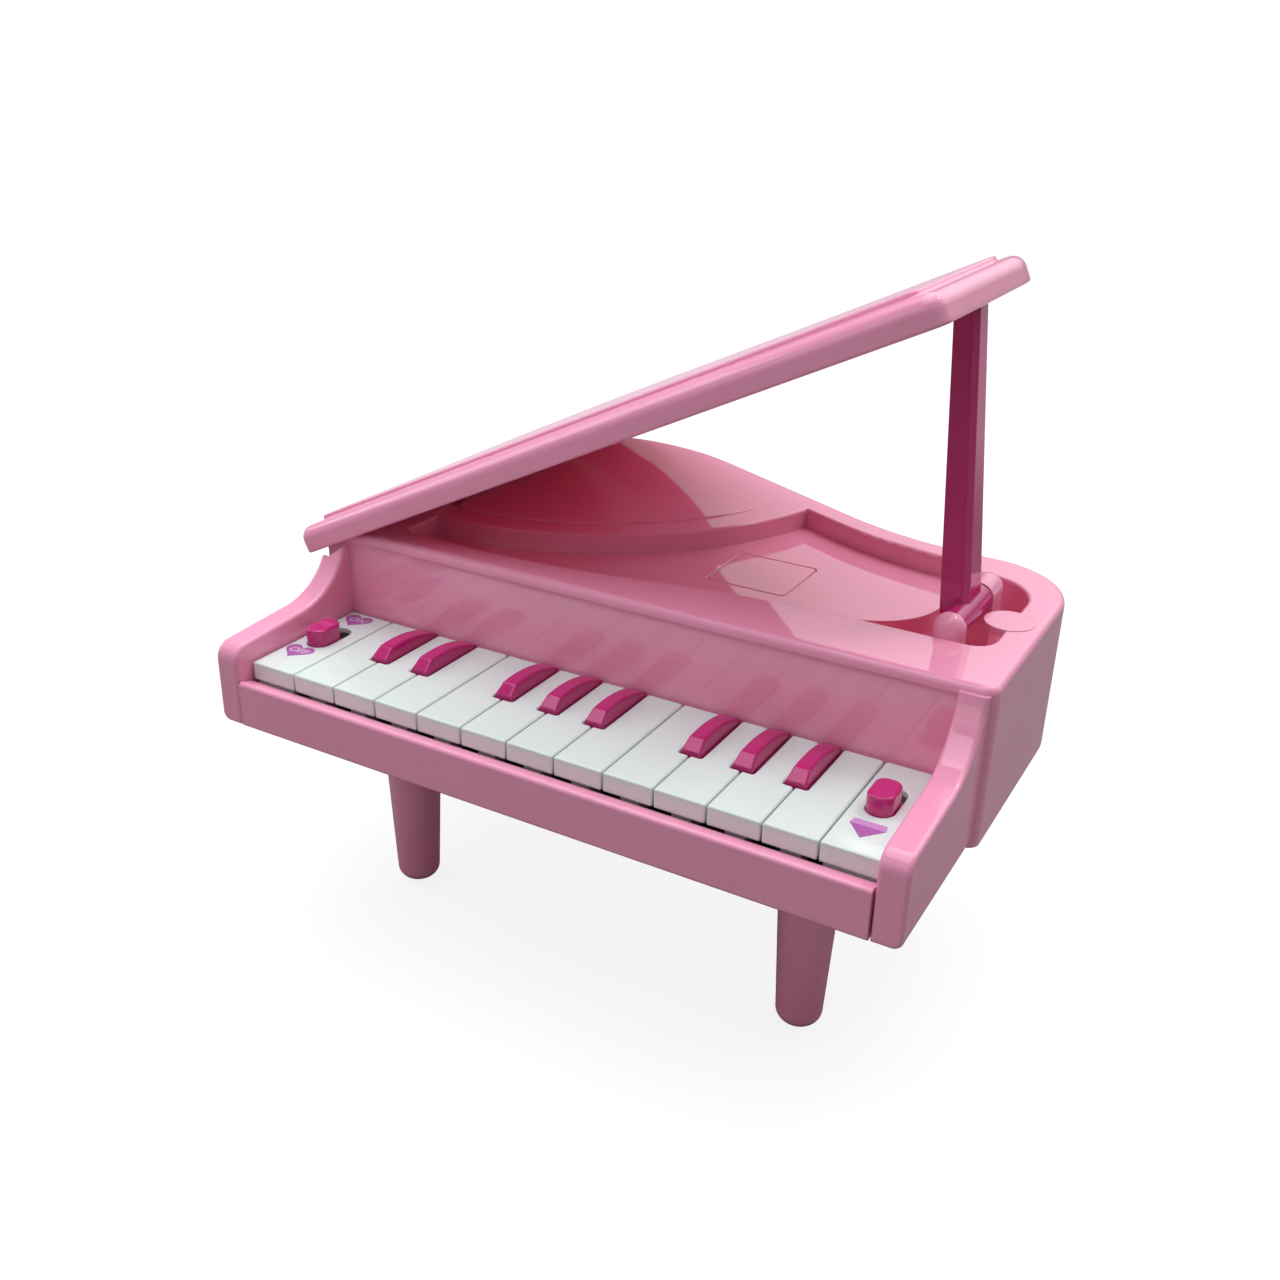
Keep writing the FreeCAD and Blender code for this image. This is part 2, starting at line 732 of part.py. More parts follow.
def bottom_case():
    inner = -wall - split_gap
    plate = rounded_slab(inner, case_bottom, floor_top, body_corner - wall)
    bed = box(-arm_in + split_gap, arm_in - split_gap, -rail_back - 1, fall_y + 2 * wall, case_bottom, floor_top)
    parts = [plate, bed, key_rail()]
    parts += rod_brackets()
    for x, y in legs():
        parts.append(post(x, y, case_bottom, case_bottom + spigot_height, spigot_r + socket_wall))
    for x, y in board_rests():
        parts.append(post(x, y, floor_top - 0.1, floor_top + board_lift, board_rest_r))
    half_x, half_y = battery_box()
    roof = floor_top + 2 * cell_r + running_gap
    parts.append(box(battery_x - half_x - battery_wall, battery_x + half_x + battery_wall,
                     battery_y - half_y - battery_wall, battery_y + half_y + battery_wall,
                     case_bottom, roof + battery_wall))
    x, y = door_screw_place()
    parts.append(post(x, y, case_bottom, floor_top + door_screw_bite, boss_r))
    ring = post(speaker_x, speaker_y, floor_top - 0.1, floor_top + ring_height, speaker_r + ring_wall)
    parts.append(ring.cut(post(speaker_x, speaker_y, floor_top - 1, deck, speaker_r + split_gap)))
    base = join(parts)

    cuts = [box(battery_x - half_x, battery_x + half_x, battery_y - half_y, battery_y + half_y,
                case_bottom - 1, roof)]
    cuts.append(bar_x(-arm_in, arm_in, pivot_y, pivot_z, rod_r + fixed_gap))
    for x, y in legs():
        cuts.append(post(x, y, case_bottom - 1, case_bottom + spigot_height + 1, spigot_r + fixed_gap))
    cuts += speaker_grille()
    cuts.append(door_tab(door_gap, door_tab_thick + running_gap))
    x, y = door_screw_place()
    cuts.append(post(x, y, case_bottom, floor_top + door_screw_bite - 1, screw_r + fixed_gap))
    for x, y in boss_places():
        cuts.append(post(x, y, case_bottom - 1, floor_top + 1, screw_r + running_gap))
        cuts.append(post(x, y, case_bottom - 1, case_bottom + screw_head / 2, screw_head_r + running_gap))
    for tool in cuts:
        base = base.cut(tool)
    return base.removeSplitter()


def white_key(index):
    """White key: hollow cap with notches beside the dark keys, on a stem with a pivot eye."""
    x0 = -keys_half + key_pitch * (index - 1) + key_gap / 2.0
    x1 = x0 + key_pitch - key_gap
    notch = black_width / 2.0 + black_notch_gap - key_gap / 2.0
    notch_y = key_length - black_length - black_notch_gap
    left = index - 1 in black_after
    right = index in black_after
    pts = [(x0, 0), (x1, 0)]
    if right:
        pts += [(x1, notch_y), (x1 - notch, notch_y), (x1 - notch, key_length)]
    else:
        pts += [(x1, key_length)]
    if left:
        pts += [(x0 + notch, key_length), (x0 + notch, notch_y), (x0, notch_y)]
    else:
        pts += [(x0, key_length)]
    z0 = key_top - key_front
    cap = prism([(x, y, z0) for x, y in pts], (0, 0, key_front))
    cap = cap.makeFillet(key_corner, upright_edges(cap, lambda x, y: y > key_length - 1))
    cap = cap.makeFillet(key_nose, upright_edges(cap, lambda x, y: y < 1e-3))
    if left or right:
        cap = cap.makeFillet(key_notch_round, upright_edges(cap, lambda x, y: abs(y - notch_y) < 1e-3))
    cap = cap.makeFillet(key_edge, edges_at(cap, key_top))

    inner_x0 = x0 + key_skin + (notch if left else 0)
    inner_x1 = x1 - key_skin - (notch if right else 0)
    hollow = box(inner_x0, inner_x1, key_skin, key_length - key_skin, z0 - 1, key_top - key_skin)
    front_hollow = box(x0 + key_skin, x1 - key_skin, key_skin, notch_y - key_skin, z0 - 1, key_top - key_skin)
    cap = cap.cut(hollow.fuse(front_hollow))
    centre = (inner_x0 + inner_x1) / 2.0
    return join([cap, key_stem((x0 + x1) / 2.0, key_skin, centre)]).cut(key_bore((x0 + x1) / 2.0))


def key_stem(x, front, root=None):
    """Lever under a key, from its front to the pivot eye."""
    half = key_stem_width / 2.0
    lever = box(x - half, x + half, front, pivot_y, stem_bottom, stem_top)
    eye = bar_x(x - half, x + half, pivot_y, pivot_z, knuckle_r)
    pieces = [lever, eye]
    if root is not None:
        back = key_length - key_skin
        pieces.append(box(root - half / 2, root + half / 2, front, back, stem_top - 1, key_top - 1))
    return join(pieces)


def key_bore(x):
    half = key_stem_width
    return bar_x(x - half, x + half, pivot_y, pivot_z, rod_r + running_gap)


def black_key(order):
    """Dark key: tapered bar with a sloped nose and a back that falls toward the fallboard."""
    x = -keys_half + key_pitch * black_after[order - 1]
    y0 = key_length - black_length
    low = stem_top - black_tail
    top = key_top + black_rise
    half = black_width / 2.0
    profile = [
        V(0, y0, low),
        V(0, y0, key_top + 2 * black_tail),
        V(0, y0 + black_nose, top),
    ]
    rear = V(0, key_length, key_top + black_tail)
    mid = V(0, (y0 + black_nose + key_length) / 2.0, top)
    edges = [
        Part.makeLine(profile[0], profile[1]),
        Part.makeLine(profile[1], profile[2]),
        Part.Arc(profile[2], mid, rear).toShape(),
        Part.makeLine(rear, V(0, key_length, low)),
        Part.makeLine(V(0, key_length, low), profile[0]),
    ]
    bar = Part.Face(Part.Wire(edges)).extrude(V(black_width, 0, 0))
    bar.translate(V(x - half, 0, 0))
    taper = (black_width - black_top_width) / 2.0
    for side in (-1, 1):
        pts = [
            (x + side * half, y0 - 1, key_top),
            (x + side * (half + 3), y0 - 1, key_top),
            (x + side * (half + 3), y0 - 1, top + 1),
            (x + side * (half - taper), y0 - 1, top + 1),
        ]
        bar = bar.cut(prism(pts, (0, black_length + 3, 0)))
    ridge = [e for e in bar.Edges if e.BoundBox.ZMin > key_top + black_tail / 2.0
             and e.BoundBox.YMin < key_length - 1 and e.BoundBox.ZMax > top - 1]
    bar = bar.makeFillet(black_edge, ridge)
    stem = key_stem(x, y0 + black_inset)
    narrow = stem.common(box(x - half + black_inset, x + half - black_inset, 0, pivot_y + 2 * knuckle_r, 0, deck))
    return join([bar, narrow]).cut(key_bore(x))


def switch_block(side):
    """End block beside the keys with the slot for a sliding knob, on two feet."""
    x0 = keys_half + key_gap / 2.0
    x1 = keys_half + block_width
    z0 = key_top - key_front
    shape = box(x0, x1, 0, key_length, z0, key_top)
    shape = shape.makeFillet(key_corner, upright_edges(shape, lambda x, y: y > key_length - 1))
    shape = shape.makeFillet(key_nose, upright_edges(shape, lambda x, y: y < 1e-3))
    shape = shape.makeFillet(key_edge, edges_at(shape, key_top))
    under = key_top - key_skin
    shape = shape.cut(box(x0 + key_skin, x1 - key_skin, key_skin, key_length - key_skin, z0 - 1, under))
    feet = [shape]
    rear = knob_y + knob_travel + knob_length / 2.0 + flange_border + 2 * knob_gap
    for y0, y1 in ((key_skin / 2, board_front - 2), (rear, key_length - key_skin / 2)):
        feet.append(box(x0 + 1, x1 - 1, y0, y0 + key_skin, floor_top, key_top - 1))
        feet.append(box(x0 + 1, x1 - 1, y1 - key_skin, y1, floor_top, key_top - 1))
    shape = join(feet)
    if side < 0:
        shape = shape.mirror(V(0, 0, 0), V(1, 0, 0))
    length = knob_length + knob_travel + 2 * knob_gap
    y = knob_y + knob_travel / 2.0
    width = knob_width + 2 * knob_gap
    return shape.cut(slot(knob_place(side), y, under - 1, key_top + 1, width, length))


def knob_place(side):
    return side * (keys_half + key_gap / 4.0 + block_width / 2.0) + knob_shift


def slide_knob(side):
    """Sliding knob: rounded grip, hidden flange and a stem that reaches the switch."""
    x = knob_place(side)
    top = key_top + knob_rise
    flange_top = key_top - key_skin - knob_gap / 2.0
    grip = box(x - knob_width / 2, x + knob_width / 2, knob_y - knob_length / 2, knob_y + knob_length / 2,
               flange_top - flange_thick, top)
    grip = grip.makeFillet(knob_round, upright_edges(grip, lambda a, b: True))
    grip = grip.makeFillet(knob_edge, edges_at(grip, top))
    width = knob_width / 2 + flange_border
    length = knob_length / 2 + flange_border
    flange = box(x - width, x + width, knob_y - length, knob_y + length, flange_top - flange_thick, flange_top)
    stem_x = knob_stem_width / 2.0
    stem_y = knob_stem_length / 2.0
    foot = board_top + switch_height - switch_slot
    stem = box(x - stem_x, x + stem_x, knob_y - stem_y, knob_y + stem_y, foot, flange_top)
    return join([grip, flange, stem])


def slide_switch(side):
    """Switch housing on the circuit board, open at the top for the knob's stem."""
    x = knob_place(side)
    y = knob_y + knob_travel / 2.0
    half_x = switch_width / 2.0
    half_y = switch_length / 2.0
    body = box(x - half_x, x + half_x, y - half_y, y + half_y, board_top, board_top + switch_height)
    top = board_top + switch_height
    room_x = knob_stem_width / 2.0 + knob_gap
    room_y = knob_stem_length / 2.0 + knob_gap
    channel = box(x - room_x, x + room_x, knob_y - room_y, knob_y + knob_travel + room_y,
                  top - switch_slot - knob_gap, top + 1)
    return body.cut(channel)


def raise_lid(shape):
    turned = shape.copy()
    turned.rotate(V(hinge_x, 0, hinge_z), V(0, -1, 0), lid_open)
    return turned


def lid():
    """Lid: hollow cap with a rounded edge, a raised panel and two hinge arms."""
    z0 = deck + lid_seat
    top = z0 + lid_height
    cap = rounded_slab(lid_overhang, z0, top, lid_corner_r)
    cap = cap.makeFillet(lid_edge_r, edges_at(cap, top))
    cap = cap.makeFillet(lid_foot_r, edges_at(cap, z0))
    panel = rounded_slab(lid_overhang - panel_border, top - sink, top + panel_rise, lid_corner_r / 2.0)
    panel = panel.makeFillet(panel_round, edges_at(panel, top + panel_rise))
    cap = cap.fuse(panel).removeSplitter()
    foot = inner_edges(cap, top, lid_overhang - (lid_edge_r + panel_border) / 2.0)
    cap = cap.makeFillet(panel_round, foot)
    under = top - lid_plate
    hollow = rounded_slab(lid_overhang - lid_skirt, z0 - 1, under, lid_corner_r - lid_skirt)
    pocket = slab(lid_overhang - panel_border - lid_skirt, z0 - 1, under + panel_rise)
    shape = cap.cut(hollow).cut(pocket)
    additions = [shape]
    for y in hinge_y:
        y0 = y - hinge_arm / 2.0
        r = hinge_knuckle_r - hinge_arm_gap
        y1 = y0 + hinge_arm
        additions.append(box(hinge_x - r, hinge_x + r, y0, y1, hinge_z, under + panel_rise + sink))
        additions.append(bar_y(hinge_x, y0, y1, hinge_z, r))
    guide = prop_top_depth / 2.0 + guide_gap + guide_thick / 2.0
    guide_x = prop_x + prop_ear_r + tongue_gap
    skirt_x = body_half + lid_overhang - lid_skirt
    for side in (-1, 1):
        y0 = stick_y + side * guide - guide_thick / 2.0
        y1 = y0 + guide_thick
        plate = box(guide_x, skirt_x + sink, y0, y1, under - guide_depth, under + panel_rise + sink)
        additions.append(plate.common(cap))
    shape = join(additions)
    for y in hinge_y:
        shape = shape.cut(bar_y(hinge_x, y - hinge_arm, y + hinge_arm, hinge_z, hinge_pin_r + running_gap))
    return raise_lid(shape)


def lid_hinge_pins():
    reach = hinge_arm / 2.0 + hinge_gap + hinge_cheek
    return Part.makeCompound([bar_y(hinge_x, y - reach, y + reach, hinge_z, hinge_pin_r) for y in hinge_y])


def prop_length():
    """Length from the pin to the lid's underside along the leaning prop."""
    angle = math.radians(lid_open)
    lean = math.radians(prop_lean)
    reach = hinge_drop + lid_seat + lid_height - lid_plate
    up = V(-math.sin(angle), 0, math.cos(angle))
    r = prop_top_width / 2.0
    along = V(-math.sin(lean), 0, math.cos(lean))
    across = V(math.cos(lean), 0, math.sin(lean))
    start = V(prop_x - hinge_x, 0, prop_z - hinge_z) + across * (r - prop_top_left)
    return (reach - prop_tip_gap - r - start.dot(up)) / along.dot(up) + r


def stick_section(z, left, width, depth):
    """Outline of the prop's stick at one height: a bevelled rectangle with rounded edges."""
    x0 = prop_x - left
    x1 = x0 + width
    y0 = stick_y - depth / 2.0
    y1 = y0 + depth
    corners = [(x0, y0), (x1 - prop_bevel, y0), (x1, y0 + prop_bevel_depth), (x1, y1), (x0, y1)]
    layer = prism([(x, y, z) for x, y in corners], (0, 0, 1))
    layer = layer.makeFillet(prop_edge, upright_edges(layer, lambda x, y: True))
    return min(layer.Faces, key=lambda face: face.CenterOfMass.z).OuterWire


def lid_prop():
    """Prop: tapered and bevelled stick with round ends on a pivot barrel, leaning against the lid."""
    foot_r = prop_width / 2.0
    tip_r = prop_top_width / 2.0
    top = prop_z + prop_length() - tip_r
    foot = (prop_left, prop_width, prop_depth)
    tip = (prop_top_left, prop_top_width, prop_top_depth)
    levels = ((prop_z - foot_r, foot), (prop_z, foot), (top, tip), (top + tip_r, tip))
    stick = Part.makeLoft([stick_section(z, *size) for z, size in levels], True, True)
    y0 = stick_y - prop_depth
    y1 = stick_y + prop_depth
    ends = [bar_y(prop_x - prop_left + foot_r, y0, y1, prop_z, foot_r)]
    ends.append(bar_y(prop_x - prop_top_left + tip_r, y0, y1, top, tip_r))
    middle = box(prop_x - 2 * prop_width, prop_x + 2 * prop_width, y0, y1, prop_z, top)
    stick = stick.common(join([middle] + ends))
    half = prop_span / 2.0
    barrel = bar_y(prop_x, prop_y - half, prop_y + half, prop_z, prop_barrel_r)
    shape = join([stick, barrel])
    shape = shape.cut(bar_y(prop_x, prop_y - half - 1, prop_y + half + 1, prop_z, prop_pin_r + running_gap))
    shape.rotate(V(prop_x, 0, prop_z), V(0, -1, 0), prop_lean)
    return shape


def prop_pin():
    (front0, front1), (back0, back1) = ear_places()
    return bar_y(prop_x, front0 + wall + fixed_gap, back1 - wall - fixed_gap, prop_z, prop_pin_r)


def leg(x, y):
    """Tapered round leg with a rounded foot and a spigot for the case socket."""
    r = leg_foot_round
    slope = (leg_top_r - leg_foot_r) / leg_height
    side = leg_foot_r + slope * r
    turn_mid = math.radians(-45.0)
    mid = V(side - r + r * math.cos(turn_mid), 0, r + r * math.sin(turn_mid))
    edges = [
        Part.makeLine(V(0, 0, 0), V(side - r, 0, 0)),
        Part.Arc(V(side - r, 0, 0), mid, V(side, 0, r)).toShape(),
        Part.makeLine(V(side, 0, r), V(leg_top_r, 0, leg_height)),
        Part.makeLine(V(leg_top_r, 0, leg_height), V(spigot_r, 0, leg_height)),
        Part.makeLine(V(spigot_r, 0, leg_height), V(spigot_r, 0, leg_height + spigot_height)),
        Part.makeLine(V(spigot_r, 0, leg_height + spigot_height), V(0, 0, leg_height + spigot_height)),
        Part.makeLine(V(0, 0, leg_height + spigot_height), V(0, 0, 0)),
    ]
    shape = Part.Face(Part.Wire(edges)).revolve(V(0, 0, 0), V(0, 0, 1), 360)
    shape.translate(V(x, y, 0))
    return shape


def key_pivot_rod():
    half = keys_half + key_pitch / 2.0 + key_stem_width / 2.0
    return bar_x(-half, half, pivot_y, pivot_z, rod_r)


def key_centres():
    whites = [-keys_half + key_pitch * (i + 0.5) for i in range(white_count)]
    blacks = [-keys_half + key_pitch * i for i in black_after]
    return whites + blacks


def circuit_board():
    """Board under the keys, wider at both ends where it carries the switches."""
    z0 = board_top - board_thick
    half = keys_half + block_width - 1
    tab_back = knob_y + knob_travel / 2.0 + switch_length / 2.0 + 1
    pieces = [box(-half, half, board_front, board_back, z0, board_top)]
    for x0, x1 in ((-half, -keys_half), (keys_half, half)):
        pieces.append(box(x0, x1, board_front, tab_back, z0, board_top))
    return join(pieces)


def contact_strip():
    """Rubber strip with a dome under each key, clear of the fully pressed keys."""
    drop = (pivot_y - dome_row) * math.sin(math.radians(key_travel))
    top = stem_bottom - drop - dome_gap
    base = board_top + strip_thick
    reach = dome_r + strip_border
    strip = box(-keys_half, keys_half, dome_row - reach, dome_row + reach, board_top, base)
    tip_r = dome_r * dome_taper
    domes = [Part.makeCone(dome_r, tip_r, top - base, V(x, dome_row, base)) for x in key_centres()]
    return join([strip] + domes)


def sound_chip():
    top = board_top + chip_height
    chip = post(key_pitch * chip_key, board_front + chip_setback, board_top, top, chip_r)
    return chip.makeFillet(chip_edge, edges_at(chip, top))


def speaker_frame():
    """Speaker basket: flange on the grille, tapered back with a seat for the magnet."""
    z0 = floor_top
    z1 = z0 + speaker_depth
    roof = z1 - basket_skin
    mouth = cone_r + basket_border
    outer = [V(speaker_r, 0, z0), V(speaker_r, 0, z0 + basket_lip), V(magnet_r, 0, z1), V(0, 0, z1)]
    inner = [V(0, 0, roof), V(magnet_r - 1, 0, roof), V(mouth, 0, z0 + basket_skin), V(mouth, 0, z0)]
    pts = outer + inner + [outer[0]]
    shape = Part.Face(Part.makePolygon(pts)).revolve(V(0, 0, 0), V(0, 0, 1), 360)
    shape.translate(V(speaker_x, speaker_y, 0))
    return shape


def speaker_cone():
    """Paper cone with its centre cap, seated on the basket's rim."""
    z0 = floor_top + cone_lift
    rim = cone_r + cone_rim
    peak = z0 + cone_depth
    under = peak - cone_paper
    pts = [V(rim, 0, z0), V(rim, 0, z0 + cone_paper), V(cone_cap_r, 0, peak), V(0, 0, peak),
           V(0, 0, under), V(cone_cap_r - cone_paper, 0, under), V(rim, 0, z0)]
    shape = Part.Face(Part.makePolygon(pts)).revolve(V(0, 0, 0), V(0, 0, 1), 360)
    shape.translate(V(speaker_x, speaker_y, 0))
    return shape


def speaker_magnet():
    z0 = floor_top + speaker_depth
    return post(speaker_x, speaker_y, z0, z0 + magnet_height, magnet_r)


def cell_places():
    return [battery_x + (i - (cell_count - 1) / 2.0) * cell_pitch for i in range(cell_count)]


def cell_z():
    return floor_top + cell_r


def batteries():
    half = cell_length / 2.0
    cells = []
    for i, x in enumerate(cell_places()):
        sign = 1 if i % 2 == 0 else -1
        tip = battery_y + half - cell_end
        body = bar_y(x, battery_y - half + cell_end, tip - nub_length, cell_z(), cell_r)
        nub = bar_y(x, tip - nub_length - sink, tip, cell_z(), nub_r)
        cell = body.fuse(nub).removeSplitter()
        if sign < 0:
            cell.rotate(V(x, battery_y, cell_z()), V(0, 0, 1), 180)
        cells.append(cell)
    return Part.makeCompound(cells)


def battery_contacts():
    half_x, half_y = battery_box()
    plates = []
    for x in cell_places():
        for side in (-1, 1):
            y = battery_y + side * half_y
            y0 = min(y, y - side * contact_thick)
            z = cell_z()
            h = contact_half
            plate = box(x - h, x + h, y0, y0 + contact_thick, z - h, z + h)
            start = y0 + contact_thick if side < 0 else y0
            height = contact_space + contact_reach - contact_thick
            cone = Part.makeCone(contact_r, contact_tip_r, height, V(x, start, z), V(0, -side, 0))
            plates.append(plate.fuse(cone).removeSplitter())
    return Part.makeCompound(plates)


def battery_door():
    half_x, half_y = battery_box()
    door = box(battery_x - half_x + door_gap, battery_x + half_x - door_gap,
               battery_y - half_y + door_gap, battery_y + half_y - door_gap, case_bottom, floor_top - door_seat)
    door = door.makeFillet(door_corner, upright_edges(door, lambda x, y: True))
    door = door.fuse(door_tab(0, door_tab_thick)).removeSplitter()
    x, y = door_screw_place()
    door = door.cut(post(x, y, case_bottom - 1, floor_top, screw_r + running_gap))
    return door.cut(post(x, y, case_bottom - 1, case_bottom + screw_head / 2, screw_head_r + running_gap))


def battery_door_screw():
    x, y = door_screw_place()
    return screw(x, y, case_bottom, floor + door_screw_bite - 2)


def screw(x, y, z, length):
    head = post(x, y, z, z + screw_head / 2, screw_head_r)
    shank = post(x, y, z, z + length, screw_r)
    w = driver_width / 2.0
    cross = box(x - driver_half, x + driver_half, y - w, y + w, z - 1, z + driver_depth)
    return head.fuse(shank).removeSplitter().cut(cross)


def case_screws():
    return Part.makeCompound([screw(x, y, case_bottom, floor + screw_bite) for x, y in boss_places()])


def build():
    nodes = {
        "upper_case": upper_case(),
        "bottom_case": bottom_case(),
        "left_switch_block": switch_block(-1),
        "right_switch_block": switch_block(1),
        "power_knob": slide_knob(-1),
        "mode_knob": slide_knob(1),
        "power_switch": slide_switch(-1),
        "mode_switch": slide_switch(1),
        "lid": lid(),
        "lid_hinge_pins": lid_hinge_pins(),
        "lid_prop": lid_prop(),
        "prop_pin": prop_pin(),
        "key_pivot_rod": key_pivot_rod(),
        "circuit_board": circuit_board(),
        "contact_strip": contact_strip(),
        "sound_chip": sound_chip(),
        "speaker_frame": speaker_frame(),
        "speaker_cone": speaker_cone(),
        "speaker_magnet": speaker_magnet(),
        "batteries": batteries(),
        "battery_contacts": battery_contacts(),
        "battery_door": battery_door(),
        "battery_door_screw": battery_door_screw(),
        "case_screws": case_screws(),
    }
    for name, (x, y) in zip(("leg_front_left", "leg_front_right", "leg_rear"), legs()):
        nodes[name] = leg(x, y)
    for i in range(1, white_count + 1):
        nodes["white_key_%02d" % i] = white_key(i)
    for i in range(1, len(black_after) + 1):
        nodes["black_key_%02d" % i] = black_key(i)
    return nodes


os.makedirs("parts", exist_ok=True)
nodes = build()

# The frame's origin lies on the floor under the middle of the whole piano
extent = Part.makeCompound(list(nodes.values())).optimalBoundingBox(False)
shift = V(-extent.Center.x, -extent.Center.y, 0)
print("shift %.4f %.4f" % (shift.x, shift.y), "height %.3f" % extent.ZMax, "low %.4f" % extent.ZMin)
for name, shape in nodes.items():
    shape.translate(shift)
    shape.exportStep("parts/%s.step" % name)
    print(name, "solids", len(shape.Solids), "valid", shape.isValid(), "volume %.1f" % shape.Volume)
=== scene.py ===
import json
import math

import bpy
from mathutils import Matrix, Vector


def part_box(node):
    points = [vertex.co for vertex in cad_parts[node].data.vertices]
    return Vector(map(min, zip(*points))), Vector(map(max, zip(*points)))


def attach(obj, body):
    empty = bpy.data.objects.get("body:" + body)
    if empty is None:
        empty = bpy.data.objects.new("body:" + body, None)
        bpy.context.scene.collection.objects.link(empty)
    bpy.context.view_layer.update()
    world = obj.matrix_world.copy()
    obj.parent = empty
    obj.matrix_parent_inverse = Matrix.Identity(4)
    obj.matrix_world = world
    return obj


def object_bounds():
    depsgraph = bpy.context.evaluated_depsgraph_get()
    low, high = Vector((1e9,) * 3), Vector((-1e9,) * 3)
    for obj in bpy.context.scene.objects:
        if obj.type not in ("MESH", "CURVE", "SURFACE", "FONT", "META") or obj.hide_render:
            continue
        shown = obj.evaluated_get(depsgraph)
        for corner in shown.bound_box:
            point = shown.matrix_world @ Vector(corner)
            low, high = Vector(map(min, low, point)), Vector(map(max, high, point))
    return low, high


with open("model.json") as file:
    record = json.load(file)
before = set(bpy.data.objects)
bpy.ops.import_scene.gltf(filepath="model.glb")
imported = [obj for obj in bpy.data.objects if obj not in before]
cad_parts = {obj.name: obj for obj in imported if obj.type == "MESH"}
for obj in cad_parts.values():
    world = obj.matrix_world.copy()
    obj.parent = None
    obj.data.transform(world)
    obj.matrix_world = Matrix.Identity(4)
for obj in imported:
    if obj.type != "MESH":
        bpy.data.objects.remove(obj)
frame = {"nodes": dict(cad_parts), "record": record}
cad_low, cad_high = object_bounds()

MM = 0.001
WHITE = (1.0, 1.0, 1.0)

# Camera of the photograph: place in metres, angles in degrees, lens and sensor width in millimetres
CAMERA_AT = Vector((0.19121, -0.36919, 0.27450))
CAMERA_AZIMUTH = 29.30
CAMERA_ELEVATION = 24.67
CAMERA_ROLL = 1.44
CAMERA_LENS = 37.52
CAMERA_SENSOR = 36.0
CAMERA_CLIP_START = 0.01

# The room: its brightest side, its level there and elsewhere,
# and the cosines of the angle from that side between which the level rises
ROOM_LIT_FROM = (0.10, 0.60, 0.80)
ROOM_BRIGHT = 2.0
ROOM_DIM = 0.26
ROOM_RISE = (0.66, 0.92)

# The floor: metres from its middle to its sides, its greys, waves of its mottle, and how bright it is seen
FLOOR_REACH = 6.0
FLOOR_GREY = (0.21, 0.21, 0.21)
FLOOR_PALER_GREY = (0.23, 0.23, 0.23)
FLOOR_WAVES = 3.0
FLOOR_SEEN = 0.84

# Share of these white surroundings that a reflection shows: in general, and on the floor beyond the object
# on the lid's side, where it grows between two distances in metres
MIRRORED_NEAR = 0.02
MIRRORED_FAR = 0.65
FAR_SIDE = (-0.6, 0.8, 0.0)
FAR_RISE = (0.24, 0.42)

# Tone of the floor in a reflection, so that the lid's top keeps its pink at the photo's flat angle
MIRRORED_TONE = (1.0, 0.66, 0.80)

# Lamps: direction from the object's middle, distance, width and height in metres, power in watts, tone
COOL_TONE = (0.95, 1.0, 1.08)
WARM_TONE = (1.0, 0.95, 0.88)
LAMPS = {
    "ceiling_panel": ((-0.22, -0.12, 1.0), 1.1, 1.35, 0.90, 7.6, COOL_TONE),
    "left_lamp": ((-0.85, -0.15, 0.45), 1.4, 0.80, 0.60, 3.2, COOL_TONE),
    "key_lamp": ((0.34, 0.42, 0.84), 1.3, 0.20, 0.20, 1.7, WHITE),
    "front_lamp": ((-0.36, -0.80, 0.42), 1.6, 1.00, 0.70, 1.9, WARM_TONE),
}

# Moulded plastics: plain colour, melt streaks, rubbed edges, painted shade in recesses, and least roughness
PLASTICS = {
    "pink_plastic": dict(
        colour=(0.92, 0.355, 0.528), deep=(0.89, 0.325, 0.488),
        worn=(0.90, 0.50, 0.63), painted_shade_colour=(1.0, 0.17, 0.35), gloss=0.014),
    "magenta_plastic": dict(
        colour=(0.53, 0.022, 0.175), deep=(0.48, 0.015, 0.150),
        worn=(0.62, 0.12, 0.30), painted_shade_colour=(0.48, 0.012, 0.150), gloss=0.035),
    "white_plastic": dict(
        colour=(0.735, 0.82, 0.78), deep=(0.695, 0.78, 0.74),
        worn=(0.80, 0.84, 0.82), painted_shade_colour=(0.68, 0.74, 0.72), gloss=0.05),
}

# What all moulded plastics share: optics, shares of the second colours, and what adds to the roughness
PLASTIC_IOR = 1.52
STREAK_SHARE = 0.8
WORN_SHARE = 0.45
GRAIN_ROUGHNESS = 0.03
SCUFF_ROUGHNESS = 0.14
WORN_ROUGHNESS = 0.12

# Their edges: radius of the rounding, and the cosines of its turn at which wear starts and is full
EDGE_ROUNDING = 0.60 * MM
EDGE_TURN = (0.98, 0.80)

# Their painted shade: reach of a wide recess, which gets the painted shade, and of a narrow slot, which does
# not, with the shares of open sky at which the painted shade starts and is full
SHADED_RECESS_REACH = 60.0 * MM
SHADED_RECESS_SKY = (0.55, 0.15)
SLOT_REACH = 16.0 * MM
SLOT_SKY = (0.40, 0.85)

# Their relief
RIPPLE_HEIGHT = 0.008 * MM
SKIN_HEIGHT = 0.0012 * MM
SCUFF_DEPTH = 0.006 * MM

# Their patterns: waves to the metre, and stretches along the axes
STREAK_WAVES = 26.0
STREAK_STRETCH = (1.0, 0.45, 0.7)
CLOUD_WAVES = 90.0
WEAR_WAVES = 160.0
GRAIN_WAVES = 420.0
RIPPLE_WAVES = 55.0
SKIN_WAVES = 1500.0
SCUFF_X_WAVES = 32.0
SCUFF_X_STRETCH = (1.0, 14.0, 14.0)
SCUFF_Y_WAVES = 28.0
SCUFF_Y_STRETCH = (12.0, 1.0, 12.0)
SCUFF_PATCH_WAVES = 40.0

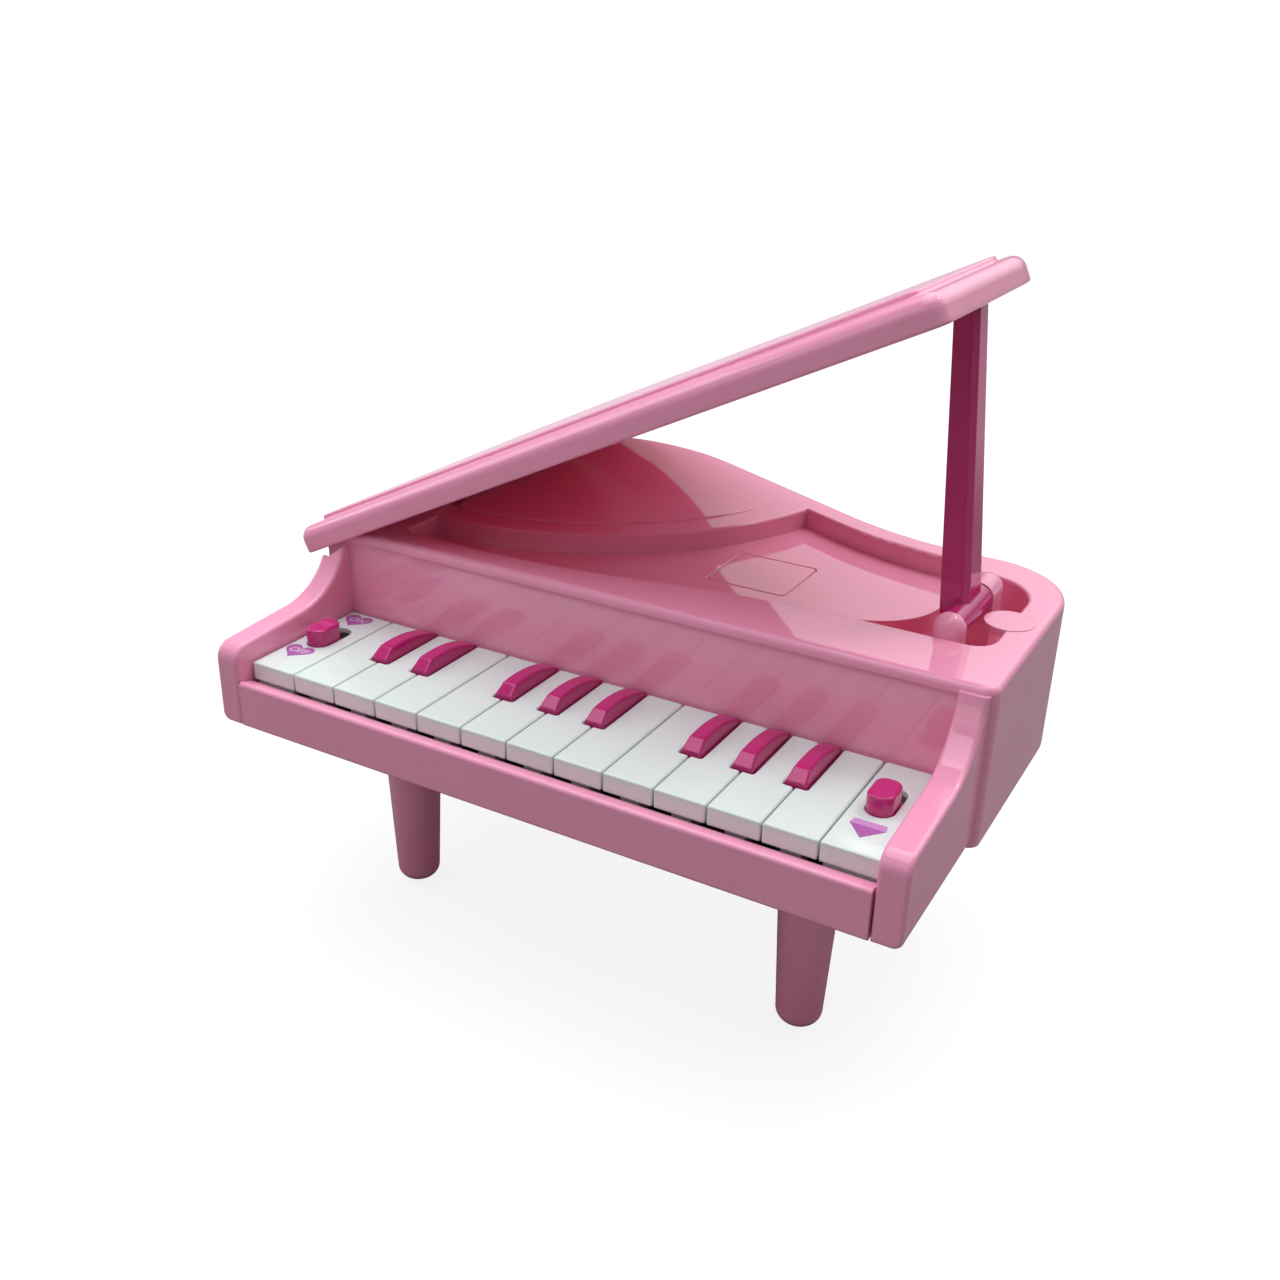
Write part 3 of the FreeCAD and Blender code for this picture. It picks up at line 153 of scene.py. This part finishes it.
# Steel
STEEL_BRIGHT = (0.62, 0.62, 0.63)
STEEL_TARNISHED = (0.42, 0.40, 0.37)
STEEL_ROUGHNESS = (0.22, 0.42)
DRAWN_WAVES = 60.0
DRAWN_STRETCH = (1.0, 30.0, 30.0)
DRAWN_HEIGHT = 0.01 * MM
TARNISH_WAVES = 180.0

# Circuit board
BOARD_GREEN = (0.05, 0.20, 0.08)
BOARD_SECOND_GREEN = (0.06, 0.24, 0.10)
BOARD_RUN = (0.16, 0.38, 0.14)
BOARD_SPECK = (0.03, 0.14, 0.05)
BOARD_ROUGHNESS = (0.28, 0.40)
RUN_SCALE = 130.0
RUN_WIDTH = 0.03
RUN_HEIGHT = 0.03 * MM
SPECK_WAVES = 900.0
SPECK_SHARE = 0.3

# Dull stocks: two colours, roughness, waves of the grain to the metre and its height
DULL_STOCKS = {
    "dome_rubber": dict(
        colour=(0.62, 0.60, 0.56), deep=(0.52, 0.50, 0.47), roughness=0.72, waves=900.0, height=0.01 * MM),
    "black_resin": dict(
        colour=(0.03, 0.03, 0.03), deep=(0.05, 0.05, 0.05), roughness=0.42, waves=500.0, height=0.02 * MM),
    "cone_paper": dict(
        colour=(0.07, 0.07, 0.08), deep=(0.11, 0.11, 0.11), roughness=0.85, waves=1600.0, height=0.04 * MM),
    "ferrite": dict(
        colour=(0.12, 0.12, 0.13), deep=(0.20, 0.20, 0.21), roughness=0.55, waves=1200.0, height=0.02 * MM),
    "cell_jacket": dict(
        colour=(0.16, 0.18, 0.21), deep=(0.22, 0.24, 0.27), roughness=0.34, waves=300.0, height=0.005 * MM),
}
BROAD_GRAIN = 12.0
STOCK_SPREAD = 0.06

# Inks: two colours each, and what they share
INKS = {
    "print_violet": ((0.38, 0.10, 0.36), (0.45, 0.15, 0.43)),
    "print_lilac": ((0.62, 0.30, 0.60), (0.56, 0.25, 0.56)),
    "print_white": ((0.80, 0.66, 0.80), (0.74, 0.58, 0.74)),
}
INK_ROUGHNESS = (0.24, 0.38)
INK_WAVES = 1400.0
INK_HEIGHT = 0.004 * MM

# The part of each noise that is spread over a pattern's whole range
NOISE_PART = (0.3, 0.7)
STREAK_PART = (0.32, 0.68)
WEAR_PART = (0.4, 0.7)
SCUFF_PART = (0.69, 0.74)
SCUFF_PATCH_PART = (0.48, 0.62)
TARNISH_PART = (0.45, 0.75)
SPECK_PART = (0.4, 0.7)
INK_PART = (0.35, 0.7)

# Prints on the two switch blocks, measured from each block's middle line and front edge
PRINT_THICKNESS = 0.04 * MM
HEART_WIDTH = 10.4 * MM
HEART_HEIGHT = 9.2 * MM
HEART_SHIFT = -2.2 * MM
HEART_OFF_Y = 13.0 * MM
HEART_ON_Y = 41.5 * MM
HEART_STEPS = 72
HEART_CURVE_HEIGHT = 29.0
HEART_CURVE_DROP = 2.5
WORD_HEIGHT = 4.1 * MM
WORD_SLANT = 0.25
WORD_SHIFT = 0.8 * MM
WORD_LIFT = 1.5 * PRINT_THICKNESS
GEM_SHIFT = -0.5 * MM
GEM_WIDTH = 10.0 * MM
GEM_TOP_WIDTH = 9.0 * MM
GEM_HEIGHT = 8.4 * MM
GEM_CROWN = 2.6 * MM
GEM_TOP_Y = 15.2 * MM


def node(tree, kind, **settings):
    """A shader node of that kind with its plain settings."""
    made = tree.nodes.new("ShaderNode" + kind)
    for name, value in settings.items():
        setattr(made, name, value)
    return made


def feed(tree, target, socket, source):
    """Links a socket to another node's output, or sets it to a number or colour."""
    if isinstance(source, bpy.types.NodeSocket):
        tree.links.new(source, target.inputs[socket])
    elif isinstance(source, tuple) and len(source) == 3 and target.inputs[socket].type == "RGBA":
        target.inputs[socket].default_value = (*source, 1.0)
    else:
        target.inputs[socket].default_value = source


def empty_tree(owner):
    """The node tree of a material or world, with nothing in it yet."""
    owner.use_nodes = True
    owner.node_tree.nodes.clear()
    return owner.node_tree


def blank_material(name):
    """A new node material with one Principled shader."""
    material = bpy.data.materials.new(name)
    tree = empty_tree(material)
    output = node(tree, "OutputMaterial")
    shader = node(tree, "BsdfPrincipled")
    tree.links.new(shader.outputs["BSDF"], output.inputs["Surface"])
    return material, tree, shader


def object_place(tree, stretch=(1.0, 1.0, 1.0)):
    """Coordinates in metres on the piece itself, stretched along its axes."""
    place = node(tree, "TexCoord").outputs["Object"]
    mapping = node(tree, "Mapping")
    feed(tree, mapping, "Vector", place)
    feed(tree, mapping, "Scale", stretch)
    return mapping.outputs["Vector"]


def noise(tree, place, waves, detail=2.0, roughness=0.5):
    """Noise from 0 to 1, with that many waves to the metre."""
    made = node(tree, "TexNoise")
    feed(tree, made, "Vector", place)
    feed(tree, made, "Scale", waves)
    feed(tree, made, "Detail", detail)
    feed(tree, made, "Roughness", roughness)
    return made.outputs["Fac"]


def span(tree, value, part, whole=(0.0, 1.0)):
    """A part of the value's range, spread over the whole range given and held at its ends."""
    made = node(tree, "MapRange")
    feed(tree, made, "Value", value)
    feed(tree, made, "From Min", part[0])
    feed(tree, made, "From Max", part[1])
    feed(tree, made, "To Min", whole[0])
    feed(tree, made, "To Max", whole[1])
    return made.outputs["Result"]


def combine(tree, operation, a, b):
    """One arithmetic step on two values."""
    made = node(tree, "Math", operation=operation)
    feed(tree, made, 0, a)
    feed(tree, made, 1, b)
    return made.outputs[0]


def times(tree, a, b):
    """The product of two values."""
    return combine(tree, "MULTIPLY", a, b)


def dot_product(tree, a, b):
    """The dot product of two vectors."""
    made = node(tree, "VectorMath", operation="DOT_PRODUCT")
    feed(tree, made, 0, a)
    feed(tree, made, 1, b)
    return made.outputs["Value"]


def mix_colours(tree, factor, a, b):
    """Colour a at factor 0, colour b at factor 1."""
    made = node(tree, "Mix", data_type="RGBA")
    feed(tree, made, 0, factor)
    feed(tree, made, 6, a)
    feed(tree, made, 7, b)
    return made.outputs[2]


def bump(tree, shader, *layers, normal=None):
    """Stacks (height, depth in metres) layers into the shader's normal, the first one lowest."""
    for height, depth in layers:
        made = node(tree, "Bump")
        feed(tree, made, "Height", height)
        feed(tree, made, "Distance", depth)
        if normal is not None:
            feed(tree, made, "Normal", normal)
        normal = made.outputs["Normal"]
    feed(tree, shader, "Normal", normal)


def soft_edges(tree):
    """Normals rounded over the sharp edges of a piece, and a mask that is 1 there and 0 on its faces."""
    rounded = node(tree, "Bevel", samples=6)
    feed(tree, rounded, "Radius", EDGE_ROUNDING)
    flat = node(tree, "NewGeometry").outputs["Normal"]
    turn = dot_product(tree, rounded.outputs["Normal"], flat)
    return rounded.outputs["Normal"], span(tree, turn, EDGE_TURN)


def open_sky(tree, reach):
    """Share of the directions in which nothing stands within reach."""
    made = node(tree, "AmbientOcclusion", samples=4)
    feed(tree, made, "Distance", reach)
    return made.outputs["AO"]


def painted_shade_mask(tree):
    """Where shade is painted: 1 deep inside wide recesses, 0 on open faces and inside narrow slots."""
    shut_in = span(tree, open_sky(tree, SHADED_RECESS_REACH), SHADED_RECESS_SKY)
    roomy = span(tree, open_sky(tree, SLOT_REACH), SLOT_SKY)
    return times(tree, shut_in, roomy)


def scuffs_one_way(tree, stretch, waves):
    """Thin scuffs that run one way, in patches: 1 on a scuff, 0 off it."""
    lines = noise(tree, object_place(tree, stretch), waves, detail=1.0)
    patches = noise(tree, object_place(tree), SCUFF_PATCH_WAVES)
    return times(tree, span(tree, lines, SCUFF_PART), span(tree, patches, SCUFF_PATCH_PART))


def melt_streaks(tree, place):
    """Long streaks of the melt, broken up by small clouds."""
    streak = noise(tree, object_place(tree, STREAK_STRETCH), STREAK_WAVES, detail=3.0)
    cloud = noise(tree, place, CLOUD_WAVES, detail=4.0)
    depth = times(tree, span(tree, streak, STREAK_PART), span(tree, cloud, NOISE_PART))
    return times(tree, depth, STREAK_SHARE)


def scuffs(tree):
    """Thin scuffs along x and along y: 1 on a scuff, 0 off it."""
    along_x = scuffs_one_way(tree, SCUFF_X_STRETCH, SCUFF_X_WAVES)
    along_y = scuffs_one_way(tree, SCUFF_Y_STRETCH, SCUFF_Y_WAVES)
    return combine(tree, "MAXIMUM", along_x, along_y)


def plastic_roughness(tree, place, gloss, scuffed, rubbed):
    """A fine grain of gloss, duller on scuffs and rubbed edges."""
    grain = noise(tree, place, GRAIN_WAVES, detail=4.0)
    rough = span(tree, grain, NOISE_PART, (gloss, gloss + GRAIN_ROUGHNESS))
    rough = combine(tree, "ADD", rough, times(tree, scuffed, SCUFF_ROUGHNESS))
    return combine(tree, "ADD", rough, times(tree, rubbed, WORN_ROUGHNESS))


def plastic_relief(tree, shader, place, scuffed, rounded):
    """A slow ripple, a fine skin and the scuffs, over the rounded edges."""
    ripple = noise(tree, place, RIPPLE_WAVES)
    skin = noise(tree, place, SKIN_WAVES)
    dents = times(tree, scuffed, -1.0)
    bump(tree, shader, (ripple, RIPPLE_HEIGHT), (skin, SKIN_HEIGHT), (dents, SCUFF_DEPTH), normal=rounded)


def moulded_plastic(name, colour, deep, worn, painted_shade_colour, gloss):
    """Glossy moulded plastic: melt streaks, painted shade in recesses, a fine skin, faint scuffs and rubbed
    edges.
    """
    material, tree, shader = blank_material(name)
    place = object_place(tree)
    rounded, edge = soft_edges(tree)
    wear = noise(tree, place, WEAR_WAVES, detail=3.0)
    rubbed = times(tree, edge, span(tree, wear, WEAR_PART))
    scuffed = scuffs(tree)
    tint = mix_colours(tree, melt_streaks(tree, place), colour, deep)
    # Painted shade: a deeper, more saturated colour deep inside wide recesses, where shade falls
    tint = mix_colours(tree, painted_shade_mask(tree), tint, painted_shade_colour)
    tint = mix_colours(tree, times(tree, rubbed, WORN_SHARE), tint, worn)
    feed(tree, shader, "Base Color", tint)
    feed(tree, shader, "Roughness", plastic_roughness(tree, place, gloss, scuffed, rubbed))
    feed(tree, shader, "IOR", PLASTIC_IOR)
    plastic_relief(tree, shader, place, scuffed, rounded)
    return material


def bright_steel():
    """Plain bright wire and stampings: drawn lines and a little tarnish."""
    material, tree, shader = blank_material("steel")
    drawn = noise(tree, object_place(tree, DRAWN_STRETCH), DRAWN_WAVES, detail=3.0)
    tarnish = span(tree, noise(tree, object_place(tree), TARNISH_WAVES, detail=4.0), TARNISH_PART)
    feed(tree, shader, "Base Color", mix_colours(tree, tarnish, STEEL_BRIGHT, STEEL_TARNISHED))
    feed(tree, shader, "Metallic", 1.0)
    feed(tree, shader, "Roughness", span(tree, drawn, NOISE_PART, STEEL_ROUGHNESS))
    bump(tree, shader, (drawn, DRAWN_HEIGHT))
    return material


def solder_mask():
    """Green lacquer that shows the copper runs under it as paler lines."""
    material, tree, shader = blank_material("board")
    runs = node(tree, "TexBrick")
    feed(tree, runs, "Vector", object_place(tree))
    feed(tree, runs, "Scale", RUN_SCALE)
    feed(tree, runs, "Mortar Size", RUN_WIDTH)
    feed(tree, runs, "Color1", BOARD_GREEN)
    feed(tree, runs, "Color2", BOARD_SECOND_GREEN)
    feed(tree, runs, "Mortar", BOARD_RUN)
    speck = span(tree, noise(tree, object_place(tree), SPECK_WAVES), SPECK_PART)
    tint = mix_colours(tree, times(tree, speck, SPECK_SHARE), runs.outputs["Color"], BOARD_SPECK)
    feed(tree, shader, "Base Color", tint)
    feed(tree, shader, "Roughness", span(tree, speck, (0.0, 1.0), BOARD_ROUGHNESS))
    bump(tree, shader, (runs.outputs["Fac"], RUN_HEIGHT))
    return material


def dull_stock(name, colour, deep, roughness, waves, height):
    """A dull moulded, cast or pressed stock with a visible grain."""
    material, tree, shader = blank_material(name)
    fine = noise(tree, object_place(tree), waves, detail=4.0, roughness=0.6)
    broad = noise(tree, object_place(tree), waves / BROAD_GRAIN, detail=3.0)
    shade = times(tree, span(tree, fine, NOISE_PART), span(tree, broad, NOISE_PART))
    feed(tree, shader, "Base Color", mix_colours(tree, shade, colour, deep))
    spread = (roughness - STOCK_SPREAD, roughness + STOCK_SPREAD)
    feed(tree, shader, "Roughness", span(tree, fine, NOISE_PART, spread))
    bump(tree, shader, (fine, height))
    return material


def print_ink(name, colour, deep):
    """Pad-printed ink, slightly mottled."""
    material, tree, shader = blank_material(name)
    mottle = noise(tree, object_place(tree), INK_WAVES, detail=4.0, roughness=0.6)
    feed(tree, shader, "Base Color", mix_colours(tree, span(tree, mottle, INK_PART), colour, deep))
    feed(tree, shader, "Roughness", span(tree, mottle, NOISE_PART, INK_ROUGHNESS))
    bump(tree, shader, (mottle, INK_HEIGHT))
    return material


def all_materials():
    """The material of each slot that the record names."""
    made = {name: moulded_plastic(name, **recipe) for name, recipe in PLASTICS.items()}
    made["steel"] = bright_steel()
    made["board"] = solder_mask()
    for name, recipe in DULL_STOCKS.items():
        made[name] = dull_stock(name, **recipe)
    return made


def dress_nodes(materials):
    """Gives each CAD node the material of its slot."""
    for subpart in frame["record"]["subparts"]:
        skin = frame["nodes"][subpart["node"]].data.materials
        skin.clear()
        skin.append(materials[subpart["material_slot"]])


def put(name, data, at):
    """A new object of the scene, at that place."""
    made = bpy.data.objects.new(name, data)
    made.location = at
    bpy.context.collection.objects.link(made)
    return made


def print_on_block(name, data, at):
    """Puts a print on a switch block, which is part of the case."""
    made = put(name, data, at)
    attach(made, "case")


def flat_print(name, outline, at, skins, faces=None):
    """A thin printed patch: its outline clockwise from above, with faces as (corner numbers, skin number)."""
    count = len(outline)
    top = [(x, y, PRINT_THICKNESS) for x, y in outline]
    foot = [(x, y, 0.0) for x, y in outline]
    polygons = []
    for corners, skin in faces or [(range(count), 0)]:
        polygons.append((tuple(reversed(corners)), skin))
        rim = [(i, (i + 1) % count) for i in corners if (i + 1) % count in corners]
        polygons += [((i + count, i, j, j + count), skin) for i, j in rim]
    mesh = bpy.data.meshes.new(name)
    mesh.from_pydata(top + foot, [], [corners for corners, skin in polygons])
    for material in skins:
        mesh.materials.append(material)
    for polygon, (corners, skin) in zip(mesh.polygons, polygons):
        polygon.material_index = skin
    print_on_block(name, mesh, at)


def heart_outline():
    """The usual heart curve, brought to its middle and size, its point towards the player."""
    points = []
    for step in range(HEART_STEPS):
        t = 2.0 * math.pi * step / HEART_STEPS
        x = math.sin(t) ** 3
        curve_y = 13 * math.cos(t) - 5 * math.cos(2 * t) - 2 * math.cos(3 * t) - math.cos(4 * t)
        y = (curve_y + HEART_CURVE_DROP) / HEART_CURVE_HEIGHT
        points.append((0.5 * HEART_WIDTH * x, HEART_HEIGHT * y))
    return points


def word(name, text, at, ink):
    """A printed word, level and readable from the front."""
    letters = bpy.data.curves.new(name, "FONT")
    letters.body = text
    letters.size = WORD_HEIGHT
    letters.shear = WORD_SLANT
    letters.align_x = "CENTER"
    letters.align_y = "CENTER"
    letters.extrude = 0.5 * PRINT_THICKNESS
    letters.materials.append(ink)
    print_on_block(name, letters, at)


def block_spot(name, x, y):
    """The point of a switch block's top that far right of its middle line and behind its front edge."""
    low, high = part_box(name)
    return Vector(((low.x + high.x) / 2 + x, low.y + y, high.z))


def switch_prints():
    """Hearts with OFF and ON on the left block and a cut gem on the right one."""
    violet, lilac, white = (print_ink(name, *colours) for name, colours in INKS.items())
    for text, y in (("OFF", HEART_OFF_Y), ("ON", HEART_ON_Y)):
        spot = block_spot("left_switch_block", HEART_SHIFT, y)
        flat_print("heart_" + text.lower(), heart_outline(), spot, [violet])
        word("word_" + text.lower(), text, spot + Vector((0.0, WORD_SHIFT, WORD_LIFT)), white)
    half, top = GEM_WIDTH / 2, GEM_TOP_WIDTH / 2
    gem = [(-top, 0.0), (top, 0.0), (half, -GEM_CROWN), (0.0, -GEM_HEIGHT), (-half, -GEM_CROWN)]
    crown, point = ((0, 1, 2, 4), 0), ((4, 2, 3), 1)
    spot = block_spot("right_switch_block", GEM_SHIFT, GEM_TOP_Y)
    flat_print("gem", gem, spot, [lilac, violet], [crown, point])


def seen_directly(tree, share):
    """How white a ray finds the surroundings: 1 from the camera or through glass, a share mirrored, or 0."""
    rays = node(tree, "LightPath")
    mirrored = times(tree, rays.outputs["Is Glossy Ray"], share)
    shown = combine(tree, "MAXIMUM", rays.outputs["Is Camera Ray"], rays.outputs["Is Transmission Ray"])
    return combine(tree, "MAXIMUM", shown, mirrored)


def soft_room():
    """A white room that is brightest above and behind the object."""
    world = bpy.data.worlds.new("room")
    bpy.context.scene.world = world
    tree = empty_tree(world)
    direction = node(tree, "TexCoord").outputs["Generated"]
    lit = dot_product(tree, direction, Vector(ROOM_LIT_FROM).normalized())
    level = span(tree, lit, ROOM_RISE, (ROOM_DIM, ROOM_BRIGHT))
    glow = node(tree, "Background")
    feed(tree, glow, "Color", WHITE)
    feed(tree, glow, "Strength", combine(tree, "MAXIMUM", level, seen_directly(tree, MIRRORED_NEAR)))
    tree.links.new(glow.outputs["Background"], node(tree, "OutputWorld").inputs["Surface"])


def floor_material():
    """A matt grey that takes the shadow, under a glow that only the camera and reflections see."""
    material = bpy.data.materials.new("floor")
    tree = empty_tree(material)
    matt = node(tree, "BsdfDiffuse")
    mottle = span(tree, noise(tree, object_place(tree), FLOOR_WAVES), NOISE_PART)
    feed(tree, matt, "Color", mix_colours(tree, mottle, FLOOR_GREY, FLOOR_PALER_GREY))
    beyond = dot_product(tree, object_place(tree), FAR_SIDE)
    share = span(tree, beyond, FAR_RISE, (MIRRORED_NEAR, MIRRORED_FAR))
    glow = node(tree, "Emission")
    reflected = node(tree, "LightPath").outputs["Is Glossy Ray"]
    feed(tree, glow, "Color", mix_colours(tree, reflected, WHITE, MIRRORED_TONE))
    feed(tree, glow, "Strength", times(tree, seen_directly(tree, share), FLOOR_SEEN))
    both = node(tree, "AddShader")
    tree.links.new(matt.outputs["BSDF"], both.inputs[0])
    tree.links.new(glow.outputs["Emission"], both.inputs[1])
    tree.links.new(both.outputs["Shader"], node(tree, "OutputMaterial").inputs["Surface"])
    return material


def pale_floor():
    """A plain pale floor that keeps the object's shadow."""
    mesh = bpy.data.meshes.new("floor")
    reach = FLOOR_REACH
    corners = [(-reach, -reach, 0.0), (reach, -reach, 0.0), (reach, reach, 0.0), (-reach, reach, 0.0)]
    mesh.from_pydata(corners, [], [(0, 1, 2, 3)])
    mesh.materials.append(floor_material())
    floor = put("floor", mesh, (0.0, 0.0, 0.0))


def soft_lamp(name, direction, distance, width, height, power, tone):
    """A soft box of that width, height and tone that looks at the middle of the object."""
    middle = (cad_low + cad_high) / 2
    towards = Vector(direction).normalized()
    lamp = bpy.data.lights.new(name, "AREA")
    lamp.shape = "RECTANGLE"
    lamp.size = width
    lamp.size_y = height
    lamp.energy = power
    lamp.color = tone
    made = put(name, lamp, middle + distance * towards)
    made.rotation_euler = towards.to_track_quat("Z", "Y").to_euler()


def photo_camera():
    """The photograph's camera: its place, its turn and its lens."""
    azimuth = math.radians(CAMERA_AZIMUTH)
    elevation = math.radians(CAMERA_ELEVATION)
    roll = math.radians(CAMERA_ROLL)
    level = math.cos(elevation)
    back = Vector((math.sin(azimuth) * level, -math.cos(azimuth) * level, math.sin(elevation)))
    right = Vector((math.cos(azimuth), math.sin(azimuth), 0.0))
    up = back.cross(right)
    turned_right = math.cos(roll) * right + math.sin(roll) * up
    turned_up = math.cos(roll) * up - math.sin(roll) * right
    turn = Matrix((turned_right, turned_up, back)).transposed()
    lens = bpy.data.cameras.new("photo_camera")
    lens.lens = CAMERA_LENS
    lens.sensor_width = CAMERA_SENSOR
    lens.clip_start = CAMERA_CLIP_START
    made = put("photo_camera", lens, CAMERA_AT)
    made.matrix_world = Matrix.Translation(CAMERA_AT) @ turn.to_4x4()
    bpy.context.scene.camera = made


dress_nodes(all_materials())
switch_prints()
soft_room()
pale_floor()
for lamp_name, lamp_values in LAMPS.items():
    soft_lamp(lamp_name, *lamp_values)
photo_camera()
bpy.context.scene.view_settings.view_transform = "Standard"
